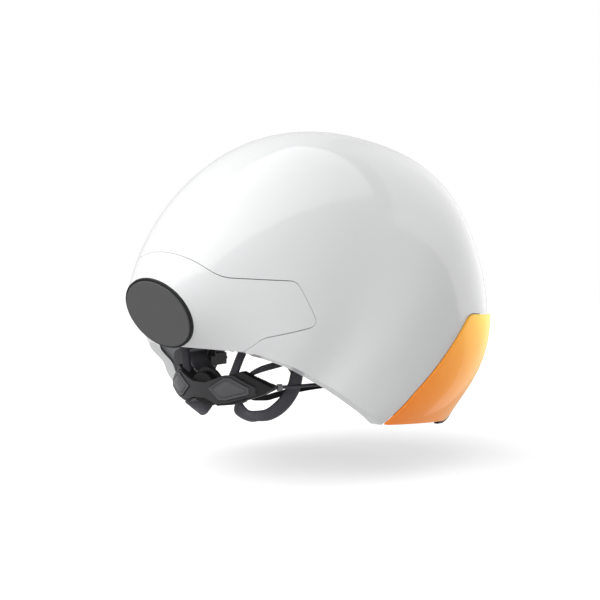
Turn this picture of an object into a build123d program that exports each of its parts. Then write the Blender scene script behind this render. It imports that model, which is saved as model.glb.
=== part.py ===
from build123d import *
import math
import os

os.makedirs("parts", exist_ok=True)

# Frame: +X to the front, +Y to the wearer's left, +Z up.
# The origin is the centre of the head opening, on the mid-plane, level with the helmet's lower front edge.

# Outer form: closed sections that fan out from one lateral axis low behind the nape
fan_x = -90.0
fan_z = -10.0
form_reach = 255.0
form_half_width = 102.5
section_spans = 10

# Flat tail end, where the form stops and the cap sits
tail_angle = 115.4
tail_radius = 101.7
tail_half_width = 26.5
tail_half_height = 24.8

# Sections after the tail end: fan angle, then the shares of the reach where the section starts and ends,
# the share of the half width, the share of the section's depth where it is widest, and its fullness
section_shares = [
    (107, 0.251, 0.533, 0.380, 0.45, 2.05),
    (96, 0.188, 0.608, 0.517, 0.40, 2.10),
    (82, 0.133, 0.722, 0.659, 0.40, 2.15),
    (68, 0.102, 0.843, 0.766, 0.45, 2.20),
    (54, 0.086, 0.945, 0.888, 0.52, 2.20),
    (41, 0.078, 0.998, 0.985, 0.55, 2.20),
    (30, 0.078, 0.976, 1.000, 0.56, 2.20),
    (20, 0.078, 0.939, 0.976, 0.56, 2.20),
    (10, 0.078, 0.843, 0.883, 0.56, 2.20),
    (0, 0.078, 0.769, 0.751, 0.56, 2.20),
]

# Walls and gaps shared by the helmet's pieces
shell_wall = 2.0
bond_gap = 0.3
running_gap = 0.5
shaft_gap = 0.15
overrun = 400.0

# Lower edge of the shell in the side view: tail, bend behind the ear, arch over the ear, cheek corner,
# then below the visor
rim_tail_x = -150.0
rim_tail_z = 63.0
rim_bend_x = -98.0
rim_bend_z = 56.8
rim_ear_x = -65.0
rim_ear_z = 41.2
rim_cheek_x = -17.7
rim_cheek_z = 5.4
rim_front_x = 160.0
rim_front_z = -14.0
rim_bend_radius = 40.0
rim_ear_radius = 150.0
rim_cheek_radius = 5.0
lip_width = 6.5
lip_height = 2.2

# Visor outline in the side view
visor_brow_x = 180.0
visor_brow_z = 57.6
visor_top_x = 54.0
visor_top_z = 72.1
visor_side_x = 3.0
visor_side_z = 25.6
visor_heel_x = -15.0
visor_heel_z = 5.2
visor_foot_x = 56.0
visor_foot_z = -1.0
visor_nose_x = 106.0
visor_nose_z = 9.0
visor_top_radius = 12.0
visor_side_radius = 40.0
visor_heel_radius = 1.0
visor_foot_radius = 20.0
visor_proud = 2.0
visor_wall = 2.2
face_drop = 60.0

# Rubber trim behind the visor's nose edge
trim_lip = 1.8
trim_wall = 1.0
trim_grip = 1.6
trim_gap = 0.15
trim_start_x = 46.0
trim_top_z = 30.0

# Frame that edges the face opening
frame_wall = 3.4
frame_width = 10.0
frame_foot_rise = 6.0

# Visor magnets: two at the brow and two at the temples
visor_magnet_radius = 4.0
visor_magnet_height = 1.6
magnet_seat_gap = 0.6
brow_magnet_y = 38.0
brow_magnet_z = 58.5
temple_magnet_x = 58.0
temple_magnet_z = 66.0

# Tail fairing outline in the side view
seam_crown_x = -141.0
seam_crown_z = 133.5
seam_saddle_x = -119.5
seam_saddle_z = 104.9
seam_front_x = -78.5
seam_front_z = 101.2
seam_nose_x = -66.8
seam_nose_z = 73.0
seam_notch_x = -96.5
seam_notch_z = 66.2
seam_rim_x = -104.5
seam_rim_z = 50.0
seam_tail_x = -200.0
seam_saddle_radius = 14.0
seam_front_radius = 6.0
seam_nose_radius = 4.5
seam_gap = 0.25

# Tail port ring, its cap and their magnets
port_plate = 0.6
port_rim_wall = 1.2
port_rim_height = 0.9
port_wall = 1.8
port_depth = 8.0
port_ear_height = 2.7
cap_gap = 0.25
cap_wall = 1.0
cap_crown = 0.8
tail_magnet_radius = 2.8
tail_magnet_height = 1.8
tail_boss_radius = 4.2

# Head cavity, air channel and foam grooves
cavity_x = 6.0
cavity_half_length = 96.0
cavity_half_width = 79.0
cavity_dome_z = 72.0
cavity_dome_height = 91.0
channel_half_width = 15.0
channel_half_height = 13.0
channel_length = 62.0
liner_joint_x = -14.0
groove_depth = 5.0
groove_width = 11.0
groove_spread = 31.0
groove_low_z = 95.0

# Comfort pads
pad_height = 6.0
brow_pad_x = 60.0
brow_pad_half_width = 54.0
brow_pad_low_z = 74.0
brow_pad_high_z = 92.0
side_pad_back_x = -16.0
side_pad_front_x = 34.0
side_pad_low_z = 74.0
side_pad_high_z = 94.0
rear_pad_x = -45.0
rear_pad_near_y = 20.0
rear_pad_far_y = 46.0
rear_pad_low_z = 90.0
rear_pad_high_z = 118.0
crown_pad_near_y = 8.0
crown_pad_far_y = 22.0
crown_pad_back_x = -34.0
crown_pad_front_x = 52.0
crown_pad_low_z = 120.0

# Nape cradle: a curved band about a vertical axis inside the head
nape_x = -49.0
cradle_radius = 50.0
cover_wall = 2.2
base_wall = 4.0
cradle_half_width = 40.8
cradle_middle_z = 30.9
cradle_half_height = 11.5
spine_half_width = 24.0
spine_depth = 9.0
hub_radius = 12.5
hub_wall = 2.6
panel_recess = 0.8
panel_proud = 0.8
panel_gap = 0.15
nape_pad_height = 2.3
nape_pad_near_y = 13.0
nape_pad_half_height = 8.0
fit_travel = 10.0
screw_shank_radius = 0.9
screw_head_radius = 1.9
screw_head_height = 1.2
screw_bite = 1.0
screw_y = 28.0
screw_rise = 5.0

# Half outline of the cradle's base from the mid-plane: shares of the half width and the half height
base_shares = [
    (0.00, -0.55),
    (0.14, -0.60),
    (0.30, -0.97),
    (0.54, -0.87),
    (0.88, -0.36),
    (1.00, 0.03),
    (0.86, 0.47),
    (0.66, 1.00),
    (0.53, 0.83),
    (0.14, 0.33),
    (0.00, 0.33),
]

# Half outline of the grey cover, in the same shares
cover_shares = [
    (0.00, -0.55),
    (0.13, -0.55),
    (0.32, -0.82),
    (0.50, -0.74),
    (0.85, -0.32),
    (0.85, 0.16),
    (0.58, 0.80),
    (0.45, 0.78),
    (0.13, 0.33),
    (0.00, 0.33),
]

# Outline of one raised panel, in the same shares
panel_shares = [
    (0.20, 0.02),
    (0.38, -0.60),
    (0.48, -0.62),
    (0.80, -0.27),
    (0.80, 0.12),
    (0.56, 0.66),
    (0.47, 0.66),
]

# Dial, its spool and pin
dial_z = 30.6
dial_radius = 9.4
dial_height = 4.4
dial_rib_radius = 0.7
dial_ribs = 24
pin_radius = 1.5
pin_head_radius = 3.2
pin_head_height = 1.2
spool_radius = 4.0

# Hangers and their slotted anchors
hanger_width = 6.0
hanger_wall = 2.2
hanger_low_x = -88.6
hanger_low_y = 18.3
hanger_low_z = 35.0
hanger_bend_x = -84.2
hanger_bend_y = 25.2
hanger_bend_z = 56.0
hanger_top_z = 77.5
hanger_head_width = 10.0
hanger_head_height = 3.0
hanger_head_depth = 4.0
anchor_low_z = 66.0
anchor_height = 6.0
anchor_half_width = 5.5
anchor_wall = 1.5

# Fit cords from the cradle to their guides
cord_radius = 1.15
cord_clearance = 0.3
guide_back_x = -13.0
guide_length = 16.0
guide_z = 34.0
guide_y = 70.0
guide_height = 8.0
guide_inner_wall = 3.0
guide_seat = 12.0
eyelet_radius = 2.2
eyelet_length = 3.0
eyelet_reach = 11.5
cord_route = [
    (-78.8, 34.6, 31.2),
    (-50.0, 51.2, 31.4),
    (-22.0, 70.0, 33.8),
    (6.0, 70.0, 34.0),
]

# Chin strap webbing: each side is one loop from the buckle, over the ear divider and back to the buckle
web_width = 12.0
web_wall = 1.4
loop_back_x = -76.0
loop_length = 25.0
loop_half_width = 41.4
loop_low_z = 12.4
loop_height = 33.8

# Points of the loop: shares of its length, its half width and its height, then the lean of the web's width
loop_shares = [
    (0.10, 0.275, 0.587, 1.00, 0.00, 0.00),
    (0.12, 0.335, 0.635, 0.98, -0.15, 0.05),
    (0.19, 0.450, 0.750, 0.88, -0.45, 0.12),
    (0.32, 0.630, 0.865, 0.78, -0.60, 0.15),
    (0.58, 0.820, 0.952, 0.76, -0.62, 0.15),
    (0.83, 0.950, 1.000, 0.85, -0.50, 0.10),
    (0.97, 1.000, 0.913, 0.96, -0.25, 0.00),
    (1.00, 0.995, 0.760, 0.99, 0.00, -0.05),
    (0.97, 0.980, 0.587, 0.99, 0.05, -0.08),
    (0.87, 0.950, 0.404, 0.88, 0.05, -0.46),
    (0.63, 0.890, 0.186, 0.77, -0.05, -0.63),
    (0.30, 0.800, 0.033, 0.70, -0.27, -0.65),
    (0.08, 0.670, 0.000, 0.59, -0.49, -0.63),
    (0.00, 0.520, 0.006, 0.37, -0.77, -0.51),
    (-0.06, 0.374, 0.121, 0.24, -0.91, -0.33),
    (0.00, 0.304, 0.299, 0.73, -0.54, -0.42),
    (0.10, 0.275, 0.491, 1.00, 0.00, 0.00),
]
divider_point = 5

# Ear dividers, strap branches and their anchors on the liner
divider_half_width = 10.8
divider_wall = 2.0
divider_bar = 2.2
divider_top = 5.0
divider_slot = 5.0
divider_play = 1.2
branch_width = 10.0
branch_gap = 2.2
branch_steps = 4
branch_flat = 9.0
front_anchor_x = 2.0
front_anchor_z = 64.0
rear_anchor_x = -66.0
rear_anchor_z = 72.0
web_anchor_radius = 6.5
web_anchor_height = 2.4

# Buckle behind the dial: a clip on the right half and its housing on the left half
buckle_z = 30.6
buckle_half_length = 11.0
buckle_half_width = 8.0
buckle_half_height = 3.5
buckle_wall = 1.3
buckle_joint_y = -1.0
prong_width = 3.0
prong_length = 7.0


def fan_plane(angle):
    """the plane at one fan angle: local x runs out from the fan axis and local y is lateral"""
    turn = math.radians(angle)
    return Plane(
        origin=(fan_x, 0, fan_z),
        x_dir=(math.cos(turn), 0, math.sin(turn)),
        z_dir=(-math.sin(turn), 0, math.cos(turn)),
    )


def half_section(angle, start, end, half_width, widest_share, fullness):
    """the left half of one section, with a rounded side that is widest at its widest share"""
    waist = start + widest_share * (end - start)
    edge = []
    for step in range(section_spans + 1):
        turn = math.pi * step / section_spans
        along = abs(math.cos(turn)) ** (2 / fullness)
        reach = waist + along * (end - waist) if turn > math.pi / 2 else waist - along * (waist - start)
        side = half_width * abs(math.sin(turn)) ** (2 / fullness)
        edge.append((reach, side))
    with BuildSketch(fan_plane(angle)) as section:
        with BuildLine():
            Spline(*edge, tangents=[(0, 1), (0, -1)], tangent_scalars=[1, 1])
            Line(edge[-1], edge[0])
        make_face()
    return section.sketch


def form(inset):
    """the outer form drawn in by an inset, as a solid"""
    sections = [
        half_section(
            tail_angle,
            tail_radius - tail_half_height + inset,
            tail_radius + tail_half_height - inset,
            tail_half_width - inset,
            0.5,
            2,
        )
    ]
    for angle, start_share, end_share, width_share, widest_share, fullness in section_shares:
        start = start_share * form_reach + inset
        end = end_share * form_reach - inset
        half_width = width_share * form_half_width - inset
        sections.append(half_section(angle, start, end, half_width, widest_share, fullness))
    with BuildPart() as body:
        loft(sections=sections)
        mirror(about=Plane.XZ)
    return body.part


def side_region(points, radii, grow=0):
    """a side view outline, grown or shrunk, as a solid that runs through the whole helmet"""
    with BuildPart() as region:
        with BuildSketch(Plane.XZ):
            with BuildLine():
                FilletPolyline(*points, radius=radii, close=True)
            make_face()
            if grow:
                offset(amount=grow, kind=Kind.INTERSECTION)
        extrude(amount=overrun, both=True)
    return region.part


def block(low, high):
    """a box between two corners"""
    with BuildPart() as box:
        with BuildSketch(Plane.XY.offset(low[2])):
            with Locations(((low[0] + high[0]) / 2, (low[1] + high[1]) / 2)):
                Rectangle(high[0] - low[0], high[1] - low[1])
        extrude(amount=high[2] - low[2])
    return box.part


def rod(centre, direction, radius, length):
    """a cylinder from a point along a direction"""
    with BuildPart() as cylinder:
        with BuildSketch(Plane(origin=centre, z_dir=direction)):
            Circle(radius)
        extrude(amount=length)
    return cylinder.part


def other_side(solid):
    """the mirror image of a solid on the other side of the mid-plane"""
    return mirror(solid, about=Plane.XZ)


def joined(*pieces):
    """several solids as one group"""
    with BuildPart() as group:
        for piece in pieces:
            add(piece)
    return group.part


def write(solid, label):
    """label one finished piece and write it"""
    solid.label = label
    export_step(solid, "parts/" + label + ".step")


def write_pair(solid, label):
    """write a left-hand piece and its right-hand mirror image"""
    write(solid, label + "_left")
    write(other_side(solid), label + "_right")


def rim_region(rise):
    """everything above the lower edge, moved up by a rise"""
    points = [
        (rim_tail_x, rim_tail_z + rise),
        (rim_bend_x, rim_bend_z + rise),
        (rim_ear_x, rim_ear_z + rise),
        (rim_cheek_x, rim_cheek_z + rise),
        (rim_front_x, rim_front_z + rise),
        (rim_front_x, form_reach),
        (rim_tail_x, form_reach),
    ]
    return side_region(points, [0, rim_bend_radius, rim_ear_radius, rim_cheek_radius, 0, 0, 0])


# Outlines of the visor, the face opening and the tail fairing
visor_edge = [
    (visor_brow_x, visor_brow_z),
    (visor_top_x, visor_top_z),
    (visor_side_x, visor_side_z),
    (visor_heel_x, visor_heel_z),
]
visor_edge_radii = [0, visor_top_radius, visor_side_radius, visor_heel_radius]
visor_points = visor_edge + [
    (visor_foot_x, visor_foot_z),
    (visor_nose_x, visor_nose_z),
    (visor_brow_x, visor_nose_z),
]
visor_radii = visor_edge_radii + [visor_foot_radius, visor_foot_radius, 0]
face_points = visor_edge + [(visor_heel_x, -face_drop), (visor_brow_x, -face_drop)]
face_radii = visor_edge_radii + [0, 0]
seam_points = [
    (seam_crown_x, seam_crown_z),
    (seam_saddle_x, seam_saddle_z),
    (seam_front_x, seam_front_z),
    (seam_nose_x, seam_nose_z),
    (seam_notch_x, seam_notch_z),
    (seam_rim_x, seam_rim_z),
    (seam_tail_x, seam_rim_z),
    (seam_tail_x, seam_crown_z),
]
seam_radii = [0, seam_saddle_radius, seam_front_radius, seam_nose_radius, seam_front_radius, 0, 0, 0]

# The skin between the outer form and the shell's inside, with its lip, before it is divided
with BuildPart() as skin_room:
    add(form(shell_wall))
    add(rim_region(lip_height), mode=Mode.INTERSECT)
with BuildPart() as skin:
    add(form(0))
    add(rim_region(0), mode=Mode.INTERSECT)
    add(skin_room.part, mode=Mode.SUBTRACT)
    add(form(lip_width), mode=Mode.SUBTRACT)
    add(side_region(face_points, face_radii, running_gap), mode=Mode.SUBTRACT)

# Outer shell
with BuildPart() as outer_shell:
    add(skin.part)
    add(side_region(seam_points, seam_radii, seam_gap), mode=Mode.SUBTRACT)
write(outer_shell.part, "outer_shell")

# Tail plane: local x is lateral and z points out of the tail
tail_turn = math.radians(tail_angle)
tail_x = fan_x + tail_radius * math.cos(tail_turn)
tail_z = fan_z + tail_radius * math.sin(tail_turn)
tail_out = Vector(-math.sin(tail_turn), 0, math.cos(tail_turn))
tail_plane = Plane(origin=(tail_x, 0, tail_z), x_dir=(0, 1, 0), z_dir=tail_out)


def tail_oval(inset, low, high):
    """an oval plate parallel to the tail end, between two heights above it"""
    with BuildPart() as plate:
        with BuildSketch(tail_plane.offset(low)):
            Ellipse(tail_half_width - inset, tail_half_height - inset)
        extrude(amount=high - low)
    return plate.part


def tail_pair(spread, radius, low, high):
    """two round bosses on the tail end's wide axis, between two heights above it"""
    with BuildPart() as bosses:
        with BuildSketch(tail_plane.offset(low)):
            with Locations((-spread, 0), (spread, 0)):
                Circle(radius)
        extrude(amount=high - low)
    return bosses.part


# Tail fairing
with BuildPart() as tail_fairing:
    add(skin.part)
    add(side_region(seam_points, seam_radii, -seam_gap), mode=Mode.INTERSECT)
    add(tail_oval(shell_wall, -port_depth - running_gap, 0), mode=Mode.SUBTRACT)
write(tail_fairing.part, "tail_fairing")

# Tail port ring: a plate over the shell's end, a rim round the cap, and a spigot with two magnet ears
spigot_inset = shell_wall + bond_gap
bore_inset = spigot_inset + port_wall
plug_inset = bore_inset + running_gap
boss_spread = tail_half_width - plug_inset - tail_boss_radius - bond_gap
ear_top = port_ear_height - port_depth
ear_magnet_low = ear_top - tail_magnet_height
port_top = port_plate + port_rim_height
magnet_bore_radius = tail_magnet_radius + shaft_gap
with BuildPart() as tail_port_ring:
    add(tail_oval(0, 0, port_top))
    add(tail_oval(port_rim_wall, port_plate, port_top), mode=Mode.SUBTRACT)
    add(tail_oval(spigot_inset, -port_depth, 0))
    add(tail_oval(bore_inset, -port_depth, port_plate), mode=Mode.SUBTRACT)
    add(tail_pair(boss_spread, tail_boss_radius + port_wall, -port_depth, ear_top))
    add(tail_pair(boss_spread, magnet_bore_radius, ear_magnet_low, ear_top), mode=Mode.SUBTRACT)
write(tail_port_ring.part, "tail_port_ring")
write(tail_pair(boss_spread, tail_magnet_radius, ear_magnet_low, ear_top), "port_magnets")

# Tail cap: a crowned oval lid with a plug that holds two magnets
cap_low = port_plate + cap_gap
cap_top = cap_low + cap_wall + cap_crown
plug_low = ear_top + running_gap
cap_magnet_top = plug_low + tail_magnet_height
with BuildPart() as tail_cap:
    add(tail_oval(port_rim_wall + cap_gap, cap_low, cap_top))
    fillet(tail_cap.edges().sort_by(Axis(tail_plane.origin, tail_out))[-1], cap_crown)
    add(tail_oval(plug_inset, plug_low, cap_low))
    add(tail_oval(plug_inset + port_wall, plug_low, cap_low), mode=Mode.SUBTRACT)
    add(tail_pair(boss_spread, tail_boss_radius, plug_low, cap_low))
    add(tail_pair(boss_spread, magnet_bore_radius, plug_low, cap_magnet_top), mode=Mode.SUBTRACT)
write(tail_cap.part, "tail_cap")
write(tail_pair(boss_spread, tail_magnet_radius, plug_low, cap_magnet_top), "cap_magnets")

# Visor lens
visor_inside = visor_wall - visor_proud
with BuildPart() as visor_lens:
    add(form(-visor_proud))
    add(form(visor_inside), mode=Mode.SUBTRACT)
    add(side_region(visor_points, visor_radii), mode=Mode.INTERSECT)
write(visor_lens.part, "visor_lens")

# Rubber trim: an angle strip behind the lens's nose edge, with its lip under that edge
with BuildPart() as nose_band:
    add(side_region(visor_points, visor_radii, trim_lip))
    add(side_region(visor_points, visor_radii, -trim_grip), mode=Mode.SUBTRACT)
    add(block((trim_start_x, -overrun, -face_drop), (visor_brow_x, overrun, trim_top_z)), mode=Mode.INTERSECT)
with BuildPart() as lens_slot:
    add(form(-visor_proud - trim_gap))
    add(form(visor_inside + trim_gap), mode=Mode.SUBTRACT)
    add(side_region(visor_points, visor_radii, trim_gap), mode=Mode.INTERSECT)
with BuildPart() as visor_trim:
    add(form(-visor_proud))
    add(form(visor_inside + trim_wall), mode=Mode.SUBTRACT)
    add(nose_band.part, mode=Mode.INTERSECT)
    add(lens_slot.part, mode=Mode.SUBTRACT)
write(visor_trim.part, "visor_nose_trim")

# Face frame: a band inside the edge of the face opening
magnet_stack = bond_gap + 2 * visor_magnet_height + running_gap + magnet_seat_gap
frame_inset = visor_inside + magnet_stack
with BuildPart() as face_frame:
    add(form(frame_inset))
    add(form(frame_inset + frame_wall), mode=Mode.SUBTRACT)
    add(rim_region(frame_foot_rise), mode=Mode.INTERSECT)
    add(side_region(face_points, face_radii), mode=Mode.INTERSECT)
    add(side_region(face_points, face_radii, -frame_width), mode=Mode.SUBTRACT)
write(face_frame.part, "face_frame")

# Magnet pairs between the lens and the frame, square to the lens where each sits
lens_inner_form = form(visor_inside)
brow_line = Axis((0, brow_magnet_y, brow_magnet_z), (1, 0, 0))
temple_line = Axis((temple_magnet_x, 0, temple_magnet_z), (0, 1, 0))
lens_discs = []
frame_discs = []
for line in (brow_line, temple_line):
    seat, outward = lens_inner_form.find_intersection_points(line)[-1]
    inward = -outward
    lens_disc = rod(seat + inward * bond_gap, inward, visor_magnet_radius, visor_magnet_height)
    frame_seat = seat + inward * (bond_gap + visor_magnet_height + running_gap)
    frame_disc = rod(frame_seat, inward, visor_magnet_radius, visor_magnet_height)
    lens_discs += [lens_disc, other_side(lens_disc)]
    frame_discs += [frame_disc, other_side(frame_disc)]
write(joined(*lens_discs), "visor_magnets")
write(joined(*frame_discs), "frame_magnets")


def cavity(grow):
    """the space for the head, grown or shrunk: a dome over a straight skirt"""
    with BuildPart() as dome:
        Sphere(1)
        scale(by=(cavity_half_length + grow, cavity_half_width + grow, cavity_dome_height + grow))
    with BuildPart() as space:
        with Locations((cavity_x, 0, cavity_dome_z)):
            add(dome.part)
        with BuildSketch(Plane.XY.offset(cavity_dome_z)):
            with Locations((cavity_x, 0)):
                Ellipse(cavity_half_length + grow, cavity_half_width + grow)
        extrude(amount=-overrun)
    return space.part


def hanger_strip(grow):
    """the strip of the left hanger, grown on all sides but its ends"""
    with BuildPart() as strip:
        for x, y, z in (
            (hanger_low_x, hanger_low_y, hanger_low_z),
            (hanger_bend_x, hanger_bend_y, hanger_bend_z),
        ):
            with BuildSketch(Plane.XY.offset(z)):
                with Locations((x, y)):
                    Rectangle(hanger_wall + 2 * grow, hanger_width + 2 * grow)
        loft(ruled=True)
        with BuildSketch(Plane.XY.offset(hanger_bend_z)):
            with Locations((hanger_bend_x, hanger_bend_y)):
                Rectangle(hanger_wall + 2 * grow, hanger_width + 2 * grow)
        extrude(amount=hanger_top_z - hanger_bend_z)
    return strip.part


# Hangers: a strip from the cradle up into the liner, with a head above its anchor
with BuildPart() as hanger:
    add(hanger_strip(0))
    with BuildSketch(Plane.XY.offset(hanger_top_z - hanger_head_height)):
        with Locations((hanger_bend_x, hanger_bend_y)):
            Rectangle(hanger_head_depth, hanger_head_width)
    extrude(amount=hanger_head_height)
write_pair(hanger.part, "hanger")

# Hanger anchors: slotted blocks in the liner that let the hangers follow the cradle
slot_front_x = hanger_bend_x + hanger_wall / 2 + bond_gap
slot_back_x = hanger_bend_x - hanger_wall / 2 - fit_travel - bond_gap
slot_half_width = hanger_width / 2 + bond_gap
anchor_top_z = anchor_low_z + anchor_height
anchor_front_x = slot_front_x + anchor_wall
anchor_back_x = slot_back_x - anchor_wall
anchor_near_y = hanger_bend_y - anchor_half_width
anchor_far_y = hanger_bend_y + anchor_half_width
anchor_slot = block(
    (slot_back_x, hanger_bend_y - slot_half_width, anchor_low_z),
    (slot_front_x, hanger_bend_y + slot_half_width, anchor_top_z),
)
with BuildPart() as hanger_anchor:
    add(block((anchor_back_x, anchor_near_y, anchor_low_z), (anchor_front_x, anchor_far_y, anchor_top_z)))
    add(anchor_slot, mode=Mode.SUBTRACT)
write_pair(hanger_anchor.part, "hanger_anchor")

# Cord guides in the liner's lower sides
guide_front_x = guide_back_x + guide_length
guide_low_z = guide_z - guide_height / 2
guide_high_z = guide_z + guide_height / 2
guide_near_y = guide_y - guide_inner_wall
guide_far_y = guide_y + guide_seat
cord_bore_radius = cord_radius + cord_clearance
with BuildPart() as cord_guide:
    add(block((guide_back_x, guide_near_y, guide_low_z), (guide_front_x, guide_far_y, guide_high_z)))
    add(rod((guide_back_x, guide_y, guide_z), (1, 0, 0), cord_bore_radius, guide_length), mode=Mode.SUBTRACT)
write_pair(cord_guide.part, "cord_guide")

# Spaces in the liner: the tail port, the air channel, the grooves over the head and the pockets
with BuildPart() as tail_room:
    with BuildSketch(tail_plane.offset(-port_depth - bond_gap)):
        Circle(form_half_width)
    extrude(amount=overrun)
with BuildPart() as air_channel:
    with BuildSketch(tail_plane):
        Ellipse(channel_half_width, channel_half_height)
    extrude(amount=-channel_length)
with BuildPart() as liner_grooves:
    add(cavity(groove_depth))
    with BuildSketch(Plane.XY.offset(groove_low_z)):
        with Locations((cavity_x, -groove_spread), (cavity_x, groove_spread)):
            Rectangle(overrun, groove_width)
    extrude(amount=overrun, mode=Mode.INTERSECT)
anchor_pocket = block(
    (anchor_back_x - bond_gap, anchor_near_y - bond_gap, anchor_low_z - bond_gap),
    (anchor_front_x + bond_gap, anchor_far_y + bond_gap, anchor_top_z + bond_gap),
)
hanger_head_room = hanger_head_width / 2 + running_gap
hanger_pocket = block(
    (
        hanger_bend_x - hanger_head_depth / 2 - running_gap - fit_travel,
        hanger_bend_y - hanger_head_room,
        hanger_low_z,
    ),
    (cavity_x, hanger_bend_y + hanger_head_room, hanger_top_z + running_gap),
)
guide_pocket = block(
    (guide_back_x - bond_gap, guide_near_y, guide_low_z - bond_gap),
    (guide_front_x + bond_gap, guide_far_y + bond_gap, guide_high_z + bond_gap),
)

# Liner of energy-absorbing foam, before it is divided
with BuildPart() as foam_liner:
    add(form(shell_wall + bond_gap))
    add(rim_region(lip_height + bond_gap), mode=Mode.INTERSECT)
    add(side_region(face_points, face_radii, bond_gap), mode=Mode.SUBTRACT)
    add(cavity(0), mode=Mode.SUBTRACT)
    add(tail_room.part, mode=Mode.SUBTRACT)
    add(air_channel.part, mode=Mode.SUBTRACT)
    add(liner_grooves.part, mode=Mode.SUBTRACT)
    for pocket in (anchor_pocket, hanger_pocket, guide_pocket):
        add(pocket, mode=Mode.SUBTRACT)
        add(other_side(pocket), mode=Mode.SUBTRACT)

# Front and rear blocks of the liner, bonded on an upright joint
front_back_x = liner_joint_x + bond_gap / 2
rear_front_x = liner_joint_x - bond_gap / 2
with BuildPart() as liner_front:
    add(foam_liner.part)
    add(block((front_back_x, -overrun, -overrun), (overrun, overrun, overrun)), mode=Mode.INTERSECT)
write(liner_front.part, "liner_front")
with BuildPart() as liner_rear:
    add(foam_liner.part)
    add(block((-overrun, -overrun, -overrun), (rear_front_x, overrun, overrun)), mode=Mode.INTERSECT)
write(liner_rear.part, "liner_rear")

# Comfort pads on the liner
pad_outside = cavity(-bond_gap)
pad_inside = cavity(-bond_gap - pad_height)


def comfort_pad(low, high):
    """a pad of even height on the liner, between two corners"""
    with BuildPart() as pad:
        add(pad_outside)
        add(pad_inside, mode=Mode.SUBTRACT)
        add(block(low, high), mode=Mode.INTERSECT)
    return pad.part


brow_pad = comfort_pad(
    (brow_pad_x, -brow_pad_half_width, brow_pad_low_z),
    (overrun, brow_pad_half_width, brow_pad_high_z),
)
write(brow_pad, "brow_pad")
side_pad = comfort_pad(
    (side_pad_back_x, 0, side_pad_low_z),
    (side_pad_front_x, overrun, side_pad_high_z),
)
write_pair(side_pad, "side_pad")
rear_pad = comfort_pad(
    (-overrun, rear_pad_near_y, rear_pad_low_z),
    (rear_pad_x, rear_pad_far_y, rear_pad_high_z),
)
write_pair(rear_pad, "rear_pad")
crown_pad = comfort_pad(
    (crown_pad_back_x, crown_pad_near_y, crown_pad_low_z),
    (crown_pad_front_x, crown_pad_far_y, overrun),
)
write_pair(crown_pad, "crown_pad")


def nape_ring(inner, outer):
    """a band about the nape's vertical axis, behind that axis"""
    with BuildPart() as ring:
        with BuildSketch(Plane.XY.offset(cradle_middle_z)):
            with Locations((nape_x, 0)):
                Circle(outer)
                Circle(inner, mode=Mode.SUBTRACT)
        extrude(amount=2 * cradle_half_height, both=True)
        add(block((nape_x - 2 * outer, -2 * outer, -overrun), (nape_x, 2 * outer, overrun)), mode=Mode.INTERSECT)
    return ring.part


def nape_points(shares):
    """the points of a rear view outline on the left side"""
    return [
        (cradle_half_width * side_share, cradle_middle_z + cradle_half_height * rise_share)
        for side_share, rise_share in shares
    ]


def nape_region(points, grow=0):
    """a rear view outline as a solid that runs through the whole cradle"""
    with BuildPart() as region:
        with BuildSketch(Plane.YZ):
            with BuildLine():
                Polyline(*points, close=True)
            make_face()
            if grow:
                offset(amount=grow, kind=Kind.INTERSECTION)
        extrude(amount=overrun, both=True)
    return region.part


def both_sides(points):
    """a half outline that starts and ends on the mid-plane, completed on the other side"""
    return points + [(-side, rise) for side, rise in reversed(points[1:-1])]


# Radii of the cradle's layers about the nape axis
cover_inner = cradle_radius - cover_wall
base_outer = cover_inner - bond_gap
base_inner = base_outer - base_wall
spine_inner = base_outer - spine_depth

# Dial: its rear face stays clear of the curved cover
dial_reach = dial_radius + dial_rib_radius
dial_back_x = nape_x - math.sqrt(cover_inner**2 - dial_reach**2) + running_gap
dial_front_x = dial_back_x + dial_height
hub_back_x = dial_front_x + running_gap
hub_front_x = hub_back_x + hub_wall
pin_bore_radius = pin_radius + shaft_gap
with BuildPart() as fit_dial:
    with BuildSketch(Plane.YZ.offset(dial_back_x)):
        with Locations((0, dial_z)):
            Circle(dial_radius)
            with PolarLocations(dial_radius, dial_ribs):
                Circle(dial_rib_radius)
            Circle(pin_bore_radius, mode=Mode.SUBTRACT)
    extrude(amount=dial_height)
write(fit_dial.part, "fit_dial")

# Cord spool on the dial's front
with BuildPart() as cord_spool:
    with BuildSketch(Plane.YZ.offset(dial_front_x)):
        with Locations((0, dial_z)):
            Circle(spool_radius)
            Circle(pin_bore_radius, mode=Mode.SUBTRACT)
    extrude(amount=running_gap + hub_wall)
write(cord_spool.part, "cord_spool")

# Dial pin with its head on the inner side of the hub
pin_back_x = dial_back_x + bond_gap
pin_head_x = hub_front_x + bond_gap
with BuildPart() as dial_pin:
    add(rod((pin_back_x, 0, dial_z), (1, 0, 0), pin_radius, pin_head_x - pin_back_x))
    add(rod((pin_head_x, 0, dial_z), (1, 0, 0), pin_head_radius, pin_head_height))
write(dial_pin.part, "dial_pin")

# Cover screws, from the inner side through the base
screw_head_x = nape_x - math.sqrt(base_inner**2 - screw_y**2) - screw_head_height
screw_tip_x = nape_x - math.sqrt(base_outer**2 - screw_y**2) - screw_bite
screw_places = [
    (-screw_y, cradle_middle_z - screw_rise),
    (screw_y, cradle_middle_z - screw_rise),
    (-screw_y, cradle_middle_z + screw_rise),
    (screw_y, cradle_middle_z + screw_rise),
]


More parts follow.
